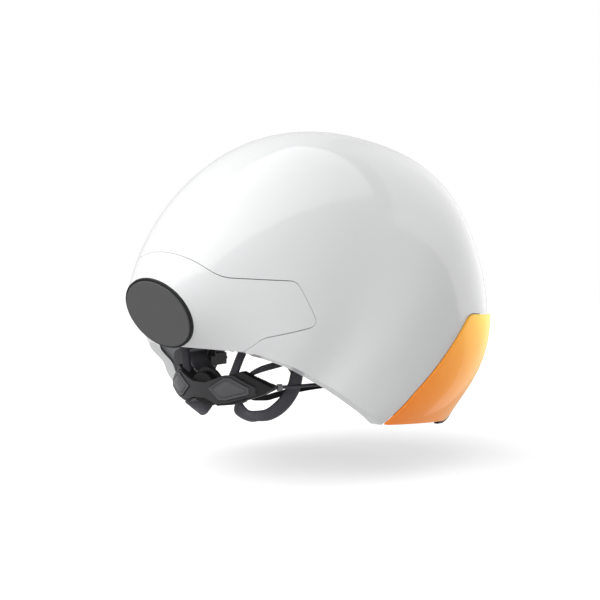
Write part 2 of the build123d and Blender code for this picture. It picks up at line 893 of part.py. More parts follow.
def screws(grow):
    """the four cover screws, grown on all sides for their holes"""
    with BuildPart() as group:
        with BuildSketch(Plane.YZ.offset(screw_tip_x - grow)):
            with Locations(*screw_places):
                Circle(screw_shank_radius + grow)
        extrude(amount=screw_head_x - screw_tip_x + grow)
        with BuildSketch(Plane.YZ.offset(screw_head_x - grow)):
            with Locations(*screw_places):
                Circle(screw_head_radius + grow)
        extrude(amount=screw_head_height + 2 * grow)
    return group.part


write(screws(0), "cover_screws")
screw_holes = screws(shaft_gap)

# Cord line and eyelets
cord_start = Vector(*cord_route[0])
cord_way = (Vector(*cord_route[1]) - cord_start).normalized()
eyelet_place = cord_start + cord_way * eyelet_reach
with BuildPart() as cord_eyelet:
    with BuildSketch(Plane(origin=eyelet_place, z_dir=cord_way)):
        Circle(eyelet_radius)
        Circle(cord_radius + shaft_gap, mode=Mode.SUBTRACT)
    extrude(amount=eyelet_length)
write_pair(cord_eyelet.part, "cord_eyelet")


def arc_radii(route):
    """the radius of each bend of a route, from its shorter run and half its turn"""
    points = [Vector(*place) for place in route]
    radii = []
    for before, here, after in zip(points, points[1:], points[2:]):
        shorter = min((here - before).length, (after - here).length)
        half_turn = math.radians((here - before).get_angle(after - here) / 2)
        radii.append(0.45 * shorter / math.tan(half_turn))
    return radii


# Fit cords
cord_radii = arc_radii(cord_route)
print("cord bend radii", [round(radius, 1) for radius in cord_radii])
with BuildPart() as fit_cord:
    with BuildLine() as cord_path:
        FilletPolyline(*cord_route, radius=cord_radii)
    with BuildSketch(Plane(origin=cord_start, z_dir=cord_way)):
        Circle(cord_radius)
    sweep(path=cord_path.line)
cord_length = sum(edge.length for edge in cord_path.edges())
print("cord volume share", round(fit_cord.part.volume / (math.pi * cord_radius**2 * cord_length), 4))
write_pair(fit_cord.part, "fit_cord")

# Cradle base: pods on a deeper spine, with a hub plate in front of the dial
cord_bore = rod(cord_start, cord_way, cord_bore_radius, overrun)
eyelet_seat = rod(eyelet_place - cord_way * bond_gap, cord_way, eyelet_radius + shaft_gap, overrun)
dial_room = rod((hub_back_x, 0, dial_z), (-1, 0, 0), dial_reach + running_gap, cradle_radius)
spool_room = rod((hub_back_x, 0, dial_z), (1, 0, 0), spool_radius + running_gap, cradle_radius)
with BuildPart() as cradle_spine:
    add(nape_ring(spine_inner, base_outer))
    add(block((-overrun, -spine_half_width, -overrun), (0, spine_half_width, overrun)), mode=Mode.INTERSECT)
with BuildPart() as cradle_base:
    add(nape_ring(base_inner, base_outer))
    add(cradle_spine.part)
    add(nape_region(both_sides(nape_points(base_shares))), mode=Mode.INTERSECT)
    add(rod((hub_back_x, 0, dial_z), (1, 0, 0), hub_radius, hub_wall))
    for cut in (dial_room, spool_room, screw_holes):
        add(cut, mode=Mode.SUBTRACT)
    for cut in (cord_bore, eyelet_seat, hanger_strip(bond_gap)):
        add(cut, mode=Mode.SUBTRACT)
        add(other_side(cut), mode=Mode.SUBTRACT)
write(cradle_base.part, "cradle_base")

# Cradle cover with two recesses for its raised panels
panel_floor = cradle_radius - panel_recess
panel_points = nape_points(panel_shares)
with BuildPart() as panel_recess_room:
    add(nape_ring(panel_floor, cradle_radius + panel_proud))
    add(nape_region(panel_points), mode=Mode.INTERSECT)
with BuildPart() as cradle_cover:
    add(nape_ring(cover_inner, cradle_radius))
    add(nape_region(both_sides(nape_points(cover_shares))), mode=Mode.INTERSECT)
    add(panel_recess_room.part, mode=Mode.SUBTRACT)
    add(other_side(panel_recess_room.part), mode=Mode.SUBTRACT)
    add(screw_holes, mode=Mode.SUBTRACT)
write(cradle_cover.part, "cradle_cover")

# Raised panels
with BuildPart() as cradle_panel:
    add(nape_ring(panel_floor + panel_gap, cradle_radius + panel_proud))
    add(nape_region(panel_points, -panel_gap), mode=Mode.INTERSECT)
write_pair(cradle_panel.part, "cradle_panel")

# Nape pads on the spine
with BuildPart() as nape_pad:
    add(nape_ring(spine_inner - bond_gap - nape_pad_height, spine_inner - bond_gap))
    add(
        block(
            (-overrun, nape_pad_near_y, cradle_middle_z - nape_pad_half_height),
            (0, spine_half_width, cradle_middle_z + nape_pad_half_height),
        ),
        mode=Mode.INTERSECT,
    )
write_pair(nape_pad.part, "nape_pad")


def square_to(direction, way):
    """the part of a direction that is square to another"""
    return direction - way * (direction.dot(way) / way.dot(way))


def webbing(points, leans, width, first_way, last_way):
    """flat webbing through points, with its width leaning along a direction at each"""
    ways = [first_way] + [after - before for before, after in zip(points, points[2:])] + [last_way]
    sections = []
    for here, lean, way in zip(points, leans, ways):
        with BuildSketch(Plane(origin=here, x_dir=square_to(lean, way), z_dir=way)) as section:
            Rectangle(width, web_wall)
        sections.append(section.sketch)
    with BuildPart() as web:
        loft(sections=sections, ruled=True)
    return web.part


# Chin strap loops
loop_points = [
    Vector(
        loop_back_x + loop_length * row[0], loop_half_width * row[1], loop_low_z + loop_height * row[2]
    )
    for row in loop_shares
]
loop_leans = [Vector(*row[3:]) for row in loop_shares]
chin_loop = webbing(loop_points, loop_leans, web_width, Vector(0, 1, 0), Vector(0, -1, 0))
write_pair(chin_loop, "chin_strap_loop")

# Ear dividers: a frame with a bar that the loop runs over and a bar that the branches join
divider_way = loop_points[divider_point + 1] - loop_points[divider_point - 1]
divider_across = square_to(loop_leans[divider_point], divider_way).normalized()
divider_plane = Plane(origin=loop_points[divider_point], x_dir=divider_across, z_dir=divider_way)
divider_up = -divider_plane.y_dir
divider_height = divider_slot / 2 + divider_bar + divider_top
with BuildPart() as ear_divider:
    with BuildSketch(divider_plane):
        with Locations((0, divider_height / 2 - divider_top)):
            Rectangle(2 * divider_half_width, divider_height)
        Rectangle(web_width + 2 * divider_play, divider_slot, mode=Mode.SUBTRACT)
    extrude(amount=divider_wall / 2, both=True)
write_pair(ear_divider.part, "ear_divider")


def cavity_wall(x, z):
    """the place on the cavity's left wall at one X and Z, and its inward direction"""
    side_share = math.sqrt(1 - ((x - cavity_x) / cavity_half_length) ** 2)
    place = Vector(x, cavity_half_width * side_share, z)
    inward = Vector(-(x - cavity_x) / cavity_half_length**2, -place.Y / cavity_half_width**2, 0)
    return place, inward.normalized()


def branch(side, anchor_place, inward, flat_way, last_lean):
    """one strap branch from the divider's top to the face of its anchor"""
    start = loop_points[divider_point] + divider_up * (divider_top + branch_gap) + divider_across * side
    end = anchor_place + inward * (running_gap + web_anchor_height + bond_gap + web_wall / 2)
    near = end - flat_way * branch_flat
    points = [start + (near - start) * (step / branch_steps) for step in range(branch_steps + 1)]
    leans = [
        divider_across * (1 - step / branch_steps) + last_lean * (step / branch_steps)
        for step in range(branch_steps + 1)
    ]
    first_way = points[1] - points[0]
    return webbing(points + [end], leans + [last_lean], branch_width, first_way, flat_way)


# Strap branches and their anchors on the liner's wall
up = Vector(0, 0, 1)
branch_side = (branch_width + running_gap) / 2
front_place, front_inward = cavity_wall(front_anchor_x, front_anchor_z)
rear_place, rear_inward = cavity_wall(rear_anchor_x, rear_anchor_z)
front_flat_way = up.cross(front_inward)
rear_level = up.cross(rear_inward)
write_pair(branch(branch_side, front_place, front_inward, front_flat_way, up), "front_strap")
write_pair(branch(-branch_side, rear_place, rear_inward, up, rear_level), "rear_strap")
for place, inward, label in (
    (front_place, front_inward, "front_strap_anchor"),
    (rear_place, rear_inward, "rear_strap_anchor"),
):
    write_pair(rod(place + inward * running_gap, inward, web_anchor_radius, web_anchor_height), label)

# Buckle housing on the left half of the chin strap
buckle_x = loop_points[0].X
buckle_low_z = buckle_z - buckle_half_height
buckle_high_z = buckle_z + buckle_half_height
with BuildPart() as buckle_housing:
    add(
        block(
            (buckle_x - buckle_half_width, buckle_joint_y, buckle_low_z),
            (buckle_x + buckle_half_width, buckle_half_length, buckle_high_z),
        )
    )
    add(
        block(
            (buckle_x - buckle_half_width + buckle_wall, buckle_joint_y, buckle_low_z + buckle_wall),
            (
                buckle_x + buckle_half_width - buckle_wall,
                buckle_half_length - buckle_wall,
                buckle_high_z - buckle_wall,
            ),
        ),
        mode=Mode.SUBTRACT,
    )
write(buckle_housing.part, "buckle_housing")

# Buckle clip on the right half, with two prongs in the housing
prong_reach = buckle_half_width - buckle_wall - bond_gap
prong_half_height = buckle_half_height - buckle_wall - bond_gap
clip_end_y = buckle_joint_y - bond_gap
with BuildPart() as buckle_clip:
    add(
        block(
            (buckle_x - buckle_half_width, -buckle_half_length, buckle_low_z),
            (buckle_x + buckle_half_width, clip_end_y, buckle_high_z),
        )
    )
    for near, far in ((-prong_reach, prong_width - prong_reach), (prong_reach - prong_width, prong_reach)):
        add(
            block(
                (buckle_x + near, clip_end_y, buckle_z - prong_half_height),
                (buckle_x + far, clip_end_y + prong_length, buckle_z + prong_half_height),
            )
        )
write(buckle_clip.part, "buckle_clip")
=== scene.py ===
import math

import bmesh
import bpy
from mathutils import Matrix, Vector
from mathutils.kdtree import KDTree


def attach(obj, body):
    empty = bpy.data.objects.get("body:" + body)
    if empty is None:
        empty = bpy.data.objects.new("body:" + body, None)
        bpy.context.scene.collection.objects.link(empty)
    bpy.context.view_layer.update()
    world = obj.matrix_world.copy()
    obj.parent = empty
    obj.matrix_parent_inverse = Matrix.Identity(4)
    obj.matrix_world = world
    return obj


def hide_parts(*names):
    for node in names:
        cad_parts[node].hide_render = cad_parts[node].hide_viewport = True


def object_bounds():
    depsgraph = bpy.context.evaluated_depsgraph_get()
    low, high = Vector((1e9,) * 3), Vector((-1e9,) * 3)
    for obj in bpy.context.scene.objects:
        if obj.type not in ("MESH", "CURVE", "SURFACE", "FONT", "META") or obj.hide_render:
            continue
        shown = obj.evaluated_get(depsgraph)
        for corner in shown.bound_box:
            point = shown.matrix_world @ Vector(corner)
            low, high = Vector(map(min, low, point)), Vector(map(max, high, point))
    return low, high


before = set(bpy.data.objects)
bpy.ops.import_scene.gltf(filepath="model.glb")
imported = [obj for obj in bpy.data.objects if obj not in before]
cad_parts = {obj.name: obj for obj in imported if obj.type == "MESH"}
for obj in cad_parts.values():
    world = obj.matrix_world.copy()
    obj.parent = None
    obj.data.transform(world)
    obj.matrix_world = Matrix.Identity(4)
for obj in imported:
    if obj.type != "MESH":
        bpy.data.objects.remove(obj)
cad_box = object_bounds()
bpy.ops.object.select_all(action="DESELECT")

# Camera: behind the helmet's right shoulder, a little above its middle, with a long lens.
# It looks at a point on the mid-plane, halfway up the shell.
lens_target = Vector((0, 0, 0.0788))
lens_distance = 1.5
lens_length = 135
lens_shift = 0.0027
camera_back = Vector((-0.762, -0.639, 0.105)).normalized()
camera_right = Vector((0, 0, 1)).cross(camera_back).normalized()
camera_up = camera_back.cross(camera_right)
camera_data = bpy.data.cameras.new("camera")
camera_data.lens = lens_length
camera_data.sensor_width = 36
camera_data.shift_x = lens_shift
camera_data.clip_end = 50
camera = bpy.data.objects.new("camera", camera_data)
bpy.context.scene.collection.objects.link(camera)
camera.matrix_world = Matrix.LocRotScale(
    lens_target + camera_back * lens_distance,
    Matrix((camera_right, camera_up, camera_back)).transposed().to_quaternion(),
    None,
)
bpy.context.scene.camera = camera
bpy.context.scene.view_settings.view_transform = "Standard"

# Studio floor: a white sweep 3 cm below the helmet, with a soft shadow near it, and plain white
# further out. It glows more towards the lens than on the helmet, and gloss doesn't reflect it.
floor_drop = 0.029
floor_radius = 4.0
floor_fade_start = 0.45
floor_fade_end = 1.1
floor_white = 0.74
floor_glow = 0.48
floor_far_light = 0.56
floor_dim = 0.58


def tree_of(material):
    """the empty node tree of a new material, with its output"""
    material.use_nodes = True
    tree = material.node_tree
    tree.nodes.clear()
    return tree, tree.nodes.new("ShaderNodeOutputMaterial")


def node(tree, kind, inputs=(), **settings):
    """a node with its settings and with values or links on its inputs"""
    made = tree.nodes.new("ShaderNode" + kind)
    for name, value in settings.items():
        setattr(made, name, value)
    for name, value in dict(inputs).items():
        if isinstance(value, bpy.types.NodeSocket):
            tree.links.new(value, made.inputs[name])
        else:
            made.inputs[name].default_value = value
    return made


def sum_of(tree, operation, *terms):
    """the result of a sum on values or links"""
    return node(tree, "Math", dict(enumerate(terms)), operation=operation).outputs[0]


def mapped(tree, value, from_min=0.0, from_max=1.0, to_min=0.0, to_max=1.0, curve="LINEAR"):
    """a value carried from one range over to another, along a straight or a soft curve"""
    ranges = {"Value": value, "From Min": from_min, "From Max": from_max, "To Min": to_min, "To Max": to_max}
    return node(tree, "MapRange", ranges, interpolation_type=curve).outputs["Result"]


def seen_rays(tree):
    """one for rays from the lens and through glass, and zero for light on the object"""
    path = node(tree, "LightPath").outputs
    return sum_of(tree, "MAXIMUM", path["Is Camera Ray"], path["Is Transmission Ray"])


floor_material = bpy.data.materials.new("studio_floor")
tree, output = tree_of(floor_material)
seen = seen_rays(tree)
place = node(tree, "TexCoord").outputs["Object"]
away = node(tree, "VectorMath", {0: place}, operation="LENGTH").outputs["Value"]
fade = mapped(tree, away, from_min=floor_fade_start, from_max=floor_fade_end, curve="SMOOTHSTEP")
matt_level = mapped(tree, seen, to_min=floor_dim, to_max=floor_white)
matt = node(tree, "BsdfDiffuse", {"Color": matt_level}).outputs[0]
near_glow = node(tree, "Emission", {"Strength": sum_of(tree, "MULTIPLY", seen, floor_glow)}).outputs[0]
near = node(tree, "AddShader", {0: matt, 1: near_glow}).outputs[0]
far = node(tree, "Emission", {"Strength": mapped(tree, seen, to_min=floor_far_light)}).outputs[0]
tree.links.new(node(tree, "MixShader", {0: fade, 1: near, 2: far}).outputs[0], output.inputs["Surface"])

bpy.ops.mesh.primitive_circle_add(
    vertices=96, radius=floor_radius, fill_type="NGON", location=(0, 0, cad_box[0][2] - floor_drop)
)
floor = bpy.context.object
floor.name = "studio_floor"
floor.data.materials.append(floor_material)
floor.visible_glossy = False

# Studio room: white to the lens and nearly white in reflections. Its light on matt surfaces comes
# mostly from behind the helmet and a little from the left, and fades towards the face.
room_light = 0.24
room_slope = 3.1
room_least = 0.04
room_most = 2.15
brightest_way = (-0.955, 0.285, 0.080)
reflected_low = 0.75
reflected_high = 0.95
reflected_high_z = 0.6
world = bpy.data.worlds.new("studio_room")
bpy.context.scene.world = world
world.use_nodes = True
tree = world.node_tree
tree.nodes.clear()
looks = node(tree, "TexCoord").outputs["Generated"]
towards = node(tree, "VectorMath", {0: looks, 1: brightest_way}, operation="DOT_PRODUCT").outputs["Value"]
sloped = sum_of(tree, "MULTIPLY_ADD", towards, room_slope, room_light)
on_matt = sum_of(tree, "MINIMUM", sum_of(tree, "MAXIMUM", sloped, room_least), room_most)
looks_up = node(tree, "SeparateXYZ", {0: looks}).outputs["Z"]
on_gloss = mapped(tree, looks_up, from_max=reflected_high_z, to_min=reflected_low, to_max=reflected_high)
in_gloss = node(tree, "LightPath").outputs["Is Glossy Ray"]
lit = mapped(tree, in_gloss, to_min=on_matt, to_max=on_gloss)
strength = mapped(tree, seen_rays(tree), to_min=lit)
background = node(tree, "Background", {"Color": (1, 1, 1, 1), "Strength": strength})
tree.links.new(background.outputs[0], node(tree, "OutputWorld").inputs["Surface"])

# Reflected panels: two large lights that only gloss sees. The overhead panel's left edge draws the bright
# patch behind the crown. The front panel's edge draws the line down the shell before the visor, and it
# glows less towards its far end. Its size and its corner are shares of its distance.
overhead_height = 1.2
overhead_size = (1.9, 1.6)
overhead_ahead_share = -0.1
overhead_edge_share = 0.55
overhead_glow = (2.6, 1.9)
front_distance = 1.2
front_way = Vector((0.766, -0.643, 0.0)).normalized()
front_slant = Vector((0.33, 0.40, -0.86))
front_width_share = 3.2
front_height_share = 1.9
front_up_share = 0.80
front_aside_share = 0.04
front_glow = (1.65, 0.8)


def reflected_panel(name, middle, right, up, size, glow):
    """a studio panel that only gloss reflects, its glow changing along its width"""
    bpy.ops.mesh.primitive_plane_add(size=1)
    panel = bpy.context.object
    panel.name = name
    turn = Matrix((right * size[0], up * size[1], right.cross(up))).transposed().to_4x4()
    panel.data.transform(Matrix.Translation(lens_target + middle) @ turn)
    material = bpy.data.materials.new(name)
    tree, output = tree_of(material)
    along = node(tree, "SeparateXYZ", {0: node(tree, "UVMap").outputs[0]}).outputs["X"]
    strength = mapped(tree, along, to_min=glow[0], to_max=glow[1], curve="SMOOTHSTEP")
    tree.links.new(node(tree, "Emission", {"Strength": strength}).outputs[0], output.inputs["Surface"])
    panel.data.materials.append(material)
    panel.visible_camera = False
    panel.visible_diffuse = False
    panel.visible_shadow = False
    panel.visible_transmission = False


overhead_aside = overhead_edge_share * overhead_height - overhead_size[1] / 2
overhead_middle = Vector((overhead_ahead_share * overhead_height, overhead_aside, overhead_height))
ahead, leftwards = Vector((1, 0, 0)), Vector((0, 1, 0))
reflected_panel("overhead_panel", overhead_middle, ahead, leftwards, overhead_size, overhead_glow)

front_down = (front_slant - front_way * front_slant.dot(front_way)).normalized()
front_aside = front_way.cross(front_down)
front_size = (front_width_share * front_distance, front_height_share * front_distance)
front_corner = front_distance * (front_way - front_up_share * front_down + front_aside_share * front_aside)
front_middle = front_corner + front_aside * front_size[0] / 2 + front_down * front_size[1] / 2
reflected_panel("front_panel", front_middle, front_aside, -front_down, front_size, front_glow)

# Fill lamp: a weak, wide lamp before the face and a little above it, which neither the lens nor
# gloss sees. It keeps the visor's side from going dark.
fill_power = 14
fill_size = 1.2
fill_distance = 1.4
fill_way = Vector((0.966, 0.0, 0.259))
fill_data = bpy.data.lights.new("face_fill", "AREA")
fill_data.size = fill_size
fill_data.energy = fill_power
fill_lamp = bpy.data.objects.new("face_fill", fill_data)
bpy.context.scene.collection.objects.link(fill_lamp)
fill_lamp.location = lens_target + fill_way * fill_distance
fill_lamp.rotation_euler = (-fill_way).to_track_quat("-Z", "Y").to_euler()
fill_lamp.visible_camera = False
fill_lamp.visible_glossy = False

# Outer shell and tail fairing: thin moulded skins bonded over the liner, in gloss white paint.
# The clear coat lies over a paint with a very fine ripple.
shell_white = (0.83, 0.835, 0.84, 1)
shell_shade = (0.80, 0.805, 0.81, 1)
patch_low = 0.3
patch_high = 0.7
gloss_spread = 0.1


def mix_colours(tree, factor, first, second):
    """two colours mixed by a factor, on the colour sockets of a Mix node"""
    mixed = node(tree, "Mix", data_type="RGBA")
    tree.links.new(factor, mixed.inputs[0])
    mixed.inputs[6].default_value = first
    mixed.inputs[7].default_value = second
    return mixed.outputs[2]


def surfaced(tree, output, sockets):
    """a principled surface with values or links on its sockets, as the material's surface"""
    tree.links.new(node(tree, "BsdfPrincipled", sockets).outputs[0], output.inputs["Surface"])


def moulded(name, light, dark, patch_scale, roughness, grain_scale, grain_depth, sockets=()):
    """a moulded or painted finish: soft patches of colour and gloss, and a fine grain"""
    material = bpy.data.materials.new(name)
    tree, output = tree_of(material)
    place = node(tree, "TexCoord").outputs["Object"]
    patches = node(tree, "TexNoise", {"Vector": place, "Scale": patch_scale, "Detail": 3.0}).outputs[0]
    least, most = roughness * (1 - gloss_spread), roughness * (1 + gloss_spread)
    gloss = mapped(tree, patches, from_min=patch_low, from_max=patch_high, to_min=least, to_max=most)
    grain = node(tree, "TexNoise", {"Vector": place, "Scale": grain_scale, "Detail": 4.0}).outputs[0]
    relief = node(tree, "Bump", {"Height": grain, "Distance": grain_depth}).outputs["Normal"]
    colour = mix_colours(tree, patches, dark, light)
    surfaced(tree, output, {"Base Color": colour, "Roughness": gloss, "Normal": relief, **dict(sockets)})
    return material


def coat(material, *names):
    """CAD nodes in a finish"""
    for name in names:
        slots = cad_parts[name].data.materials
        slots.clear()
        slots.append(material)


def both(name):
    """the names of a left and a right piece"""
    return [name + "_left", name + "_right"]


white_paint = moulded(
    "white_paint",
    shell_white,
    shell_shade,
    patch_scale=6,
    roughness=0.32,
    grain_scale=700,
    grain_depth=0.00001,
    sockets={"Specular IOR Level": 0.1, "Coat Weight": 1.0, "Coat Roughness": 0.04, "Coat IOR": 1.5},
)
coat(white_paint, "outer_shell", "tail_fairing")

# Tail port ring: a black rubber-edged ring clipped over the shell's open end.
# The cap in it is a crowned oval of satin dark grey plastic, held by two small plated magnets.
black_rubber = moulded(
    "black_rubber",
    (0.014, 0.014, 0.015, 1),
    (0.008, 0.008, 0.009, 1),
    patch_scale=60,
    roughness=0.6,
    grain_scale=2500,
    grain_depth=0.00004,
    sockets={"Specular IOR Level": 0.3},
)
cap_plastic = moulded(
    "cap_plastic",
    (0.080, 0.080, 0.081, 1),
    (0.068, 0.068, 0.069, 1),
    patch_scale=40,
    roughness=0.48,
    grain_scale=3000,
    grain_depth=0.00003,
)
plated = moulded(
    "magnet_plating",
    (0.62, 0.62, 0.64, 1),
    (0.50, 0.50, 0.52, 1),
    patch_scale=300,
    roughness=0.22,
    grain_scale=2500,
    grain_depth=0.00002,
    sockets={"Metallic": 1.0},
)
coat(black_rubber, "tail_port_ring", "visor_nose_trim")
coat(cap_plastic, "tail_cap")
coat(plated, "port_magnets", "cap_magnets", "visor_magnets", "frame_magnets")

# Visor lens: one moulded sheet with a one-way mirror film on its outer side, clear from inside.
# The film is orange, and its colour runs from a deep orange at the cheek over amber to gold in front and
# towards the top.
# This is a painted colour shift set by place: it stands in for the mirror's change of colour with the
# viewing angle, with a painted highlight towards its top.
# The film also has a weak painted glow in its own colour. What it throws on things round it is left pale.
lens_film_and_painted_shift_stops = [
    (0.00, (1.00, 0.260, 0.030, 1)),
    (0.35, (1.00, 0.330, 0.040, 1)),
    (0.60, (1.00, 0.410, 0.050, 1)),
    (0.78, (1.00, 0.520, 0.050, 1)),
    (0.86, (1.00, 0.620, 0.045, 1)),
    (1.00, (0.97, 0.780, 0.040, 1)),
]
lens_rear_x = -0.013
lens_front_x = 0.125
lens_low_z = 0.0
lens_high_z = 0.07
lens_painted_top_share = 0.30
lens_middle = (0, 0, 0.07)
lens_tint = (0.99, 0.985, 0.97, 1)
lens_edge_facing = 0.35
lens_bounce = (0.50, 0.50, 0.50, 1)
lens_material = bpy.data.materials.new("visor_film")
tree, output = tree_of(lens_material)
place = node(tree, "TexCoord").outputs["Object"]
split = node(tree, "SeparateXYZ", {0: place}).outputs
# painted colour shift: the film's colour runs forward and upward by place, in place of its change with the
# viewing angle
forward = mapped(tree, split["X"], from_min=lens_rear_x, from_max=lens_front_x)
upward = mapped(tree, split["Z"], from_min=lens_low_z, from_max=lens_high_z, to_max=lens_painted_top_share)
ramp = node(tree, "ValToRGB", {0: sum_of(tree, "ADD", forward, upward)})
while len(ramp.color_ramp.elements) < len(lens_film_and_painted_shift_stops):
    ramp.color_ramp.elements.new(0.5)
for element, (position, colour) in zip(ramp.color_ramp.elements, lens_film_and_painted_shift_stops):
    element.position = position
    element.color = colour
lens_ripple = node(tree, "TexNoise", {"Vector": place, "Scale": 900.0}).outputs[0]
relief = node(tree, "Bump", {"Height": lens_ripple, "Distance": 0.000005}).outputs["Normal"]
film_sockets = {
    "Base Color": ramp.outputs[0],
    "Roughness": 0.45,
    "Metallic": 0.45,
    "Specular IOR Level": 0.1,
    "Coat Weight": 0.35,
    "Coat Roughness": 0.03,
    # painted glow: the film shines weakly by itself in its own colour, though it is no lamp
    "Emission Color": ramp.outputs[0],
    "Emission Strength": 0.1,
    "Normal": relief,
}
film = node(tree, "BsdfPrincipled", film_sockets).outputs[0]
from_middle = node(tree, "VectorMath", {0: place, 1: lens_middle}, operation="SUBTRACT").outputs["Vector"]
outward = node(tree, "VectorMath", {0: from_middle}, operation="NORMALIZE").outputs["Vector"]
normal = node(tree, "NewGeometry").outputs["Normal"]
facing = node(tree, "VectorMath", {0: outward, 1: normal}, operation="DOT_PRODUCT").outputs["Value"]
outer_side = sum_of(tree, "GREATER_THAN", facing, 0.0)
clear = node(tree, "BsdfTransparent", {"Color": lens_tint}).outputs[0]
two_sides = node(tree, "MixShader", {0: outer_side, 1: clear, 2: film}).outputs[0]
on_edge = sum_of(tree, "LESS_THAN", sum_of(tree, "ABSOLUTE", facing), lens_edge_facing)
whole = node(tree, "MixShader", {0: on_edge, 1: two_sides, 2: film}).outputs[0]
pale = node(tree, "BsdfDiffuse", {"Color": lens_bounce}).outputs[0]
thrown = node(tree, "LightPath").outputs["Is Diffuse Ray"]
tree.links.new(node(tree, "MixShader", {0: thrown, 1: whole, 2: pale}).outputs[0], output.inputs["Surface"])
coat(lens_material, "visor_lens")

# Face frame and the small moulded parts: tough black nylon with a spark-eroded grain.
# The frame edges the face opening, and the anchors and guides are let into the foam.
black_nylon = moulded(
    "black_nylon",
    (0.014, 0.014, 0.015, 1),
    (0.008, 0.008, 0.009, 1),
    patch_scale=90,
    roughness=0.46,
    grain_scale=3500,
    grain_depth=0.00005,
    sockets={"Specular IOR Level": 0.35},
)
coat(black_nylon, "face_frame", *both("hanger_anchor"), *both("cord_guide"))

# Liner: two blocks of energy-absorbing foam, steamed from beads a few millimetres across.
# The beads show as a faint cell pattern with fine pits between them. The pits are painted darker, as painted
# shade, and the foam's tone also varies in soft random patches.
foam_light = (0.36, 0.365, 0.38, 1)
foam_pit_shade_and_tone = (0.24, 0.243, 0.255, 1)
bead_scale = 320.0
bead_edge = 0.18
foam = bpy.data.materials.new("beaded_foam")
tree, output = tree_of(foam)
place = node(tree, "TexCoord").outputs["Object"]
cells = {"Vector": place, "Scale": bead_scale, "Randomness": 0.85}
beads = node(tree, "TexVoronoi", cells, feature="DISTANCE_TO_EDGE").outputs["Distance"]
rise = mapped(tree, beads, from_max=bead_edge, curve="SMOOTHSTEP")
skin = node(tree, "TexNoise", {"Vector": place, "Scale": 60.0, "Detail": 4.0}).outputs[0]
relief = node(tree, "Bump", {"Height": rise, "Distance": 0.0002, "Strength": 0.7}).outputs["Normal"]
# painted shade in the pits between beads, times a random tone from the skin noise
colour = mix_colours(tree, sum_of(tree, "MULTIPLY", rise, skin), foam_pit_shade_and_tone, foam_light)
surfaced(tree, output, {"Base Color": colour, "Roughness": 0.75, "Normal": relief})
coat(foam, "liner_front", "liner_rear")

# Comfort pads: brushed fabric laminated on soft foam, cut with round edges and held by hook tape.
# Each fills the space of its plain pad and is plumper in the middle than at its rim.
pad_voxel = 0.0011
pad_rounds = 14
pad_light = (0.40, 0.40, 0.415, 1)
pad_dark = (0.24, 0.24, 0.25, 1)


def pick(piece):
    """one piece selected and active"""
    bpy.ops.object.select_all(action="DESELECT")
    piece.select_set(True)
    bpy.context.view_layer.objects.active = piece


def with_modifier(piece, kind, **settings):
    """a modifier set and applied on a piece"""
    pick(piece)
    modifier = piece.modifiers.new(kind.lower(), kind)
    for name, value in settings.items():
        setattr(modifier, name, value)
    bpy.ops.object.modifier_apply(modifier=modifier.name)


def merged_copy(name, label):
    """a copy of a CAD node under a new name, with its loose triangles joined"""
    piece = bpy.data.objects.new(label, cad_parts[name].data.copy())
    bpy.context.scene.collection.objects.link(piece)
    piece.data.materials.clear()
    pick(piece)
    bpy.ops.mesh.customdata_custom_splitnormals_clear()
    bpy.ops.object.mode_set(mode="EDIT")
    bpy.ops.mesh.select_all(action="SELECT")
    bpy.ops.mesh.remove_doubles(threshold=0.00001)
    bpy.ops.object.mode_set(mode="OBJECT")
    return piece


def rounded_copy(name, label, voxel, rounds, share=1.0):
    """a copy of a CAD node with every corner rounded, as a mould or soft cover leaves it"""
    piece = merged_copy(name, label)
    with_modifier(piece, "REMESH", mode="VOXEL", voxel_size=voxel, use_smooth_shade=True)
    with_modifier(piece, "SMOOTH", factor=0.5, iterations=rounds)
    if share < 1:
        with_modifier(piece, "DECIMATE", ratio=share)
    pick(piece)
    bpy.ops.object.shade_smooth()
    return piece


def finished(piece, name, body, material):
    """a piece in its finish, riding on its body in place of a CAD node"""
    piece.data.materials.clear()
    piece.data.materials.append(material)
    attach(piece, body)
    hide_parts(name)
    return piece


pad_cloth = bpy.data.materials.new("brushed_pad_fabric")
tree, output = tree_of(pad_cloth)
place = node(tree, "TexCoord").outputs["Object"]
loops = node(tree, "TexVoronoi", {"Vector": place, "Scale": 1300.0}).outputs["Distance"]
nap = node(tree, "TexNoise", {"Vector": place, "Scale": 240.0, "Detail": 6.0}).outputs[0]
pile = sum_of(tree, "MULTIPLY", loops, nap)
relief = node(tree, "Bump", {"Height": pile, "Distance": 0.0002}).outputs["Normal"]
pad_sockets = {
    "Base Color": mix_colours(tree, nap, pad_dark, pad_light),
    "Roughness": 0.92,
    "Sheen Weight": 0.35,
    "Sheen Roughness": 0.5,
    "Normal": relief,
}
surfaced(tree, output, pad_sockets)

for name in ["brow_pad", *both("side_pad"), *both("rear_pad"), *both("crown_pad"), *both("nape_pad")]:
    pad = rounded_copy(name, name + "_cushion", pad_voxel, pad_rounds)
    body = "cradle" if name.startswith("nape") else "helmet"
    finished(pad, name, body, pad_cloth)

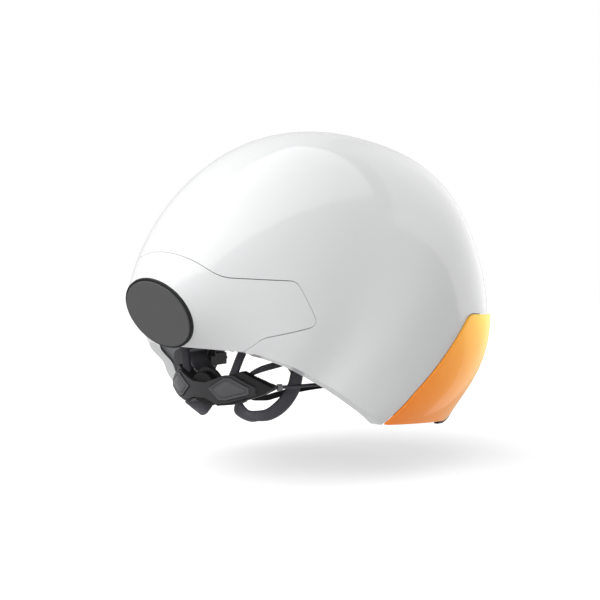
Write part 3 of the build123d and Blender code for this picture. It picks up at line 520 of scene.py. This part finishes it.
# Nape cradle: a black nylon base against the neck, with a satin grey cover screwed over it
# and a crowned panel let into each pod. Its moulded corners are softly rounded.
cradle_voxel = 0.00032
cradle_share = 0.35
base_rounds = 3
cover_rounds = 4
cover_nylon = moulded(
    "cover_nylon",
    (0.036, 0.036, 0.039, 1),
    (0.024, 0.024, 0.026, 1),
    patch_scale=70,
    roughness=0.40,
    grain_scale=3200,
    grain_depth=0.00005,
    sockets={"Specular IOR Level": 0.4},
)
panel_nylon = moulded(
    "panel_nylon",
    (0.095, 0.095, 0.099, 1),
    (0.070, 0.070, 0.074, 1),
    patch_scale=70,
    roughness=0.36,
    grain_scale=3200,
    grain_depth=0.00005,
    sockets={"Specular IOR Level": 0.4},
)
steel = moulded(
    "screw_steel",
    (0.45, 0.45, 0.46, 1),
    (0.33, 0.33, 0.34, 1),
    patch_scale=300,
    roughness=0.30,
    grain_scale=2500,
    grain_depth=0.00003,
    sockets={"Metallic": 1.0},
)
coat(steel, "dial_pin", "cover_screws")
for name, material, slot, rounds in (
    ("cradle_base", black_nylon, "black_plastic", base_rounds),
    ("cradle_cover", cover_nylon, "cradle_grey", cover_rounds),
):
    piece = rounded_copy(name, name + "_moulding", cradle_voxel, rounds, cradle_share)
    finished(piece, name, "cradle", material)

# Cradle panels: a panel's outer face has a flat rim, a groove, and a crowned middle.
# Each row is a distance inwards from the rim, and how far the face rises there.
panel_rises = [
    (0.0, 0.0),
    (0.0009, 0.0),
    (0.0013, -0.0007),
    (0.0018, -0.0007),
    (0.0023, 0.0),
    (0.0070, 0.0007),
]
panel_voxel = 0.00022
panel_share = 0.5
groove_rounds = 2
faces_outwards = -0.5
faces_sideways = 0.35


def rise_at(distance):
    """how far a panel's face rises at a distance from its rim"""
    for (near, low), (far, high) in zip(panel_rises, panel_rises[1:]):
        if distance < far:
            return low + (high - low) * (distance - near) / (far - near)
    return panel_rises[-1][1]


for name in both("cradle_panel"):
    piece = rounded_copy(name, name + "_plate", panel_voxel, 1)
    spots = piece.data.vertices
    rim = [spot.co.copy() for spot in spots if abs(spot.normal.x) < faces_sideways]
    near_rim = KDTree(len(rim))
    for index, place in enumerate(rim):
        near_rim.insert(place, index)
    near_rim.balance()
    moves = [
        (spot, spot.normal * rise_at(near_rim.find(spot.co)[2]))
        for spot in spots
        if spot.normal.x < faces_outwards
    ]
    for spot, move in moves:
        spot.co += move
    with_modifier(piece, "SMOOTH", factor=0.5, iterations=groove_rounds)
    with_modifier(piece, "DECIMATE", ratio=panel_share)
    finished(piece, name, "cradle", panel_nylon)

# Dial and spool: a ribbed wheel covered in black rubber, behind the cover's waist.
# It turns on a steel pin, with the nylon spool for the cords on its front.
dial_voxel = 0.00022
dial_rounds = 2
dial_share = 0.5
dial_wheel = rounded_copy("fit_dial", "fit_dial_wheel", dial_voxel, dial_rounds, dial_share)
finished(dial_wheel, "fit_dial", "dial", black_rubber)
coat(black_nylon, "cord_spool")

# Eyelets: hard grey rings pressed into the tips of the pods.
# They line the cord's way out, so that it doesn't wear the nylon.
eyelet_plastic = moulded(
    "eyelet_plastic",
    (0.20, 0.20, 0.21, 1),
    (0.14, 0.14, 0.15, 1),
    patch_scale=120,
    roughness=0.30,
    grain_scale=2500,
    grain_depth=0.00002,
)
coat(eyelet_plastic, *both("cord_eyelet"))

# Fit cords: a cord with a smooth plastic cover from each pod to its guide in the liner.
# It lies along the side of the head, and moves with the cradle.
cord_diameter = 0.0023
cord_route = [
    (-0.0788, 0.0346, 0.0312),
    (-0.0500, 0.0512, 0.0314),
    (-0.0220, 0.0700, 0.0338),
    (0.0060, 0.0700, 0.0340),
]
cord_light = (0.042, 0.042, 0.052, 1)
cord_dark = (0.020, 0.020, 0.026, 1)
cord_cover = bpy.data.materials.new("cord_cover")
tree, output = tree_of(cord_cover)
place = node(tree, "TexCoord").outputs["Object"]
strands = node(tree, "TexNoise", {"Vector": place, "Scale": 900.0, "Detail": 2.0}).outputs[0]
relief = node(tree, "Bump", {"Height": strands, "Distance": 0.00005}).outputs["Normal"]
colour = mix_colours(tree, strands, cord_dark, cord_light)
surfaced(tree, output, {"Base Color": colour, "Roughness": 0.38, "Normal": relief})

for side, label in ((1, "left"), (-1, "right")):
    line = bpy.data.curves.new("fit_cord_line_" + label, "CURVE")
    line.dimensions = "3D"
    line.bevel_depth = cord_diameter / 2
    line.bevel_resolution = 5
    line.use_fill_caps = True
    spline = line.splines.new("NURBS")
    spline.points.add(len(cord_route) - 1)
    for point, (x, y, z) in zip(spline.points, cord_route):
        point.co = (x, side * y, z, 1)
    spline.order_u = 3
    spline.use_endpoint_u = True
    spline.resolution_u = 16
    lace = bpy.data.objects.new("fit_cord_line_" + label, line)
    bpy.context.scene.collection.objects.link(lace)
    finished(lace, "fit_cord_" + label, "cradle", cord_cover)

# Chin strap: flat woven webbing, one loop on each side from the buckle, over the ear divider and back.
# The weave has rows of yarn along the strap, and a bound edge on each side. The yarn is painted darker where
# it dips under, as painted shade.
# A row of loop_shares is a place along, across and up the loop, and the way its width leans there.
web_width = 0.012
web_wall = 0.0014
loop_back_x = -0.076
loop_length = 0.025
loop_half_width = 0.0414
loop_low_z = 0.0124
loop_height = 0.0338
loop_shares = [
    (0.10, 0.275, 0.587, 1.00, 0.00, 0.00),
    (0.12, 0.335, 0.635, 0.98, -0.15, 0.05),
    (0.19, 0.450, 0.750, 0.88, -0.45, 0.12),
    (0.32, 0.630, 0.865, 0.78, -0.60, 0.15),
    (0.58, 0.820, 0.952, 0.76, -0.62, 0.15),
    (0.83, 0.950, 1.000, 0.85, -0.50, 0.10),
    (0.97, 1.000, 0.913, 0.96, -0.25, 0.00),
    (1.00, 0.995, 0.760, 0.99, 0.00, -0.05),
    (0.97, 0.980, 0.587, 0.99, 0.05, -0.08),
    (0.87, 0.950, 0.404, 0.88, 0.05, -0.46),
    (0.63, 0.890, 0.186, 0.77, -0.05, -0.63),
    (0.30, 0.800, 0.033, 0.70, -0.27, -0.65),
    (0.08, 0.670, 0.000, 0.59, -0.49, -0.63),
    (0.00, 0.520, 0.006, 0.37, -0.77, -0.51),
    (-0.06, 0.374, 0.121, 0.24, -0.91, -0.33),
    (0.00, 0.304, 0.299, 0.73, -0.54, -0.42),
    (0.10, 0.275, 0.491, 1.00, 0.00, 0.00),
]
loop_points = [
    (loop_back_x + loop_length * back, loop_half_width * aside, loop_low_z + loop_height * up)
    for back, aside, up, *_ in loop_shares
]
web_light = (0.055, 0.055, 0.075, 1)
web_painted_groove_shade = (0.020, 0.020, 0.030, 1)
yarn_rows = 14
yarn_steps = 1.3
yarn_under = 0.35
yarn_relief = 0.00025
strap_steps = 6
strap_profile = [
    (-0.500, 0.00),
    (-0.485, 0.34),
    (-0.450, 0.46),
    (-0.250, 0.49),
    (0.000, 0.50),
    (0.250, 0.49),
    (0.450, 0.46),
    (0.485, 0.34),
    (0.500, 0.00),
    (0.485, -0.34),
    (0.450, -0.46),
    (0.250, -0.49),
    (0.000, -0.50),
    (-0.250, -0.49),
    (-0.450, -0.46),
    (-0.485, -0.34),
]


def smooth_line(points):
    """points on a smooth line through others, a few of them between each two"""
    line = []
    last = len(points) - 1
    for index in range(last):
        before = points[max(index - 1, 0)]
        here = points[index]
        after = points[index + 1]
        beyond = points[min(index + 2, last)]
        for step in range(strap_steps):
            share = step / strap_steps
            line.append(
                0.5
                * (
                    2 * here
                    + (after - before) * share
                    + (2 * before - 5 * here + 4 * after - beyond) * share**2
                    + (3 * here - before - 3 * after + beyond) * share**3
                )
            )
    return line + [points[last].copy()]


def strap(name, points, leans, width, wall):
    """a flat strap with rounded edges along a smooth line, its width leaning as given, and its length"""
    line = smooth_line(points)
    lean_line = smooth_line(leans)
    mesh = bpy.data.meshes.new(name)
    body = bmesh.new()
    map_layer = body.loops.layers.uv.new("strap_map")
    rings = []
    travelled = [0.0]
    for index, here in enumerate(line):
        way = (line[min(index + 1, len(line) - 1)] - line[max(index - 1, 0)]).normalized()
        across = (lean_line[index] - way * lean_line[index].dot(way)).normalized()
        up = way.cross(across)
        rings.append([body.verts.new(here + across * width * u + up * wall * v) for u, v in strap_profile])
        if index:
            travelled.append(travelled[-1] + (here - line[index - 1]).length / width)
    count = len(strap_profile)
    for index, (ring, following) in enumerate(zip(rings, rings[1:])):
        for spot in range(count):
            after = (spot + 1) % count
            face = body.faces.new((ring[spot], ring[after], following[after], following[spot]))
            sides = (strap_profile[spot][0] + 0.5, strap_profile[after][0] + 0.5)
            for loop, across_share, step in zip(face.loops, (0, 1, 1, 0), (0, 0, 1, 1)):
                loop[map_layer].uv = (sides[across_share], travelled[index + step])
            face.smooth = True
    body.faces.new(reversed(rings[0]))
    body.faces.new(rings[-1])
    bmesh.ops.recalc_face_normals(body, faces=body.faces)
    body.to_mesh(mesh)
    body.free()
    piece = bpy.data.objects.new(name, mesh)
    bpy.context.scene.collection.objects.link(piece)
    return piece, travelled[-1] * width


def flipped(vector, side):
    """a vector on the left side, or its mirror image on the right"""
    return Vector((vector[0], side * vector[1], vector[2]))


webbing = bpy.data.materials.new("woven_webbing")
tree, output = tree_of(webbing)
split = node(tree, "SeparateXYZ", {0: node(tree, "UVMap").outputs[0]}).outputs
across = sum_of(tree, "MULTIPLY", split["X"], float(yarn_rows))
shift = sum_of(tree, "MULTIPLY", sum_of(tree, "FLOOR", across), 0.5)
turns = sum_of(tree, "ADD", sum_of(tree, "MULTIPLY", split["Y"], yarn_rows * yarn_steps), shift)
along = sum_of(tree, "SINE", sum_of(tree, "MULTIPLY", turns, 2 * math.pi))
over = mapped(tree, along, from_min=-1.0, to_min=yarn_under)
crown = sum_of(tree, "SINE", sum_of(tree, "MULTIPLY", across, math.pi))
height = sum_of(tree, "MULTIPLY", sum_of(tree, "ABSOLUTE", crown), over)
relief = node(tree, "Bump", {"Height": height, "Distance": yarn_relief}).outputs["Normal"]
web_sockets = {
    # painted shade: the webbing is darker where the weave's height is low, between and under the yarns
    "Base Color": mix_colours(tree, height, web_painted_groove_shade, web_light),
    "Roughness": 0.62,
    "Sheen Weight": 0.25,
    "Sheen Roughness": 0.4,
    "Normal": relief,
}
surfaced(tree, output, web_sockets)

for side, label in ((1, "left"), (-1, "right")):
    points = [flipped(point, side) for point in loop_points]
    leans = [flipped(row[3:], side) for row in loop_shares]
    loop, loop_run = strap("chin_web_" + label, points, leans, web_width, web_wall)
    finished(loop, "chin_strap_loop_" + label, "helmet", webbing)

# Ear dividers: a moulded frame on each side, with a slot for the loop and a bar for the two branches.
# The anchors that hold the branches on the liner are small round studs.
small_voxel = 0.0003
small_rounds = 3
small_share = 0.5


def moulding(name):
    """a small black nylon moulding with softened corners, in place of its CAD node"""
    piece = rounded_copy(name, name + "_moulding", small_voxel, small_rounds, small_share)
    finished(piece, name, "helmet", black_nylon)


for name in (*both("ear_divider"), *both("front_strap_anchor"), *both("rear_strap_anchor")):
    moulding(name)

# Strap branches: two narrower webs on each side, sewn flat webbing like the loop. They run from the
# divider's top up to the studs on the liner, each with a short flat end on its stud.
branch_width = 0.010
branch_spread = 0.00525
branch_rise = 0.0072
branch_flat = 0.009
branch_steps = 4
front_stud = (0.002, 0.064)
rear_stud = (-0.066, 0.072)
stud_reach = 0.0039
wall_middle_x = 0.006
wall_half_length = 0.096
wall_half_width = 0.079
divider_point = 5
upright = Vector((0, 0, 1))


def liner_wall(x, z):
    """the place on the liner's left inner wall at one X and Z, and its inward direction"""
    share = math.sqrt(1 - ((x - wall_middle_x) / wall_half_length) ** 2)
    place = Vector((x, wall_half_width * share, z))
    inward = Vector((-(x - wall_middle_x) / wall_half_length**2, -place.y / wall_half_width**2, 0))
    return place, inward.normalized()


before, divider_top, after = (Vector(point) for point in loop_points[divider_point - 1 : divider_point + 2])
divider_way = (after - before).normalized()
divider_lean = Vector(loop_shares[divider_point][3:])
divider_across = (divider_lean - divider_way * divider_lean.dot(divider_way)).normalized()
divider_up = -divider_way.cross(divider_across)
for branch_name, spread, stud in (("front", branch_spread, front_stud), ("rear", -branch_spread, rear_stud)):
    place, inward = liner_wall(*stud)
    level = upright.cross(inward)
    flat_way, last_lean = (level, upright) if branch_name == "front" else (upright, level)
    start = divider_top + divider_up * branch_rise + divider_across * spread
    end = place + inward * stud_reach
    near = end - flat_way * branch_flat
    route = [start.lerp(near, step / branch_steps) for step in range(branch_steps + 1)] + [end]
    leans = [divider_across.lerp(last_lean, step / branch_steps) for step in range(branch_steps + 1)]
    leans.append(last_lean)
    for side, label in ((1, "left"), (-1, "right")):
        web, web_run = strap(
            branch_name + "_web_" + label,
            [flipped(point, side) for point in route],
            [flipped(lean, side) for lean in leans],
            branch_width,
            web_wall,
        )
        finished(web, branch_name + "_strap_" + label, "helmet", webbing)

# Hangers: narrow flexible tapes of the same webbing, stiff enough to keep their line.
# They carry the cradle from slots in the liner, and move with it.
hanger_width = 0.006
hanger_wall = 0.0022
hanger_route = [
    (-0.0886, 0.0183, 0.0350),
    (-0.0871, 0.0207, 0.0422),
    (-0.0856, 0.0230, 0.0494),
    (-0.0842, 0.0252, 0.0566),
    (-0.0842, 0.0252, 0.0670),
    (-0.0842, 0.0252, 0.0774),
]
for side, label in ((1, "left"), (-1, "right")):
    points = [flipped(point, side) for point in hanger_route]
    leans = [Vector((0, 1, 0))] * len(points)
    tape, _ = strap("hanger_tape_" + label, points, leans, hanger_width, hanger_wall)
    finished(tape, "hanger_" + label, "cradle", webbing)

# Buckle: a clip that snaps into its housing, both moulded in black nylon.
# It joins the two loops behind the dial.
moulding("buckle_housing")
moulding("buckle_clip")
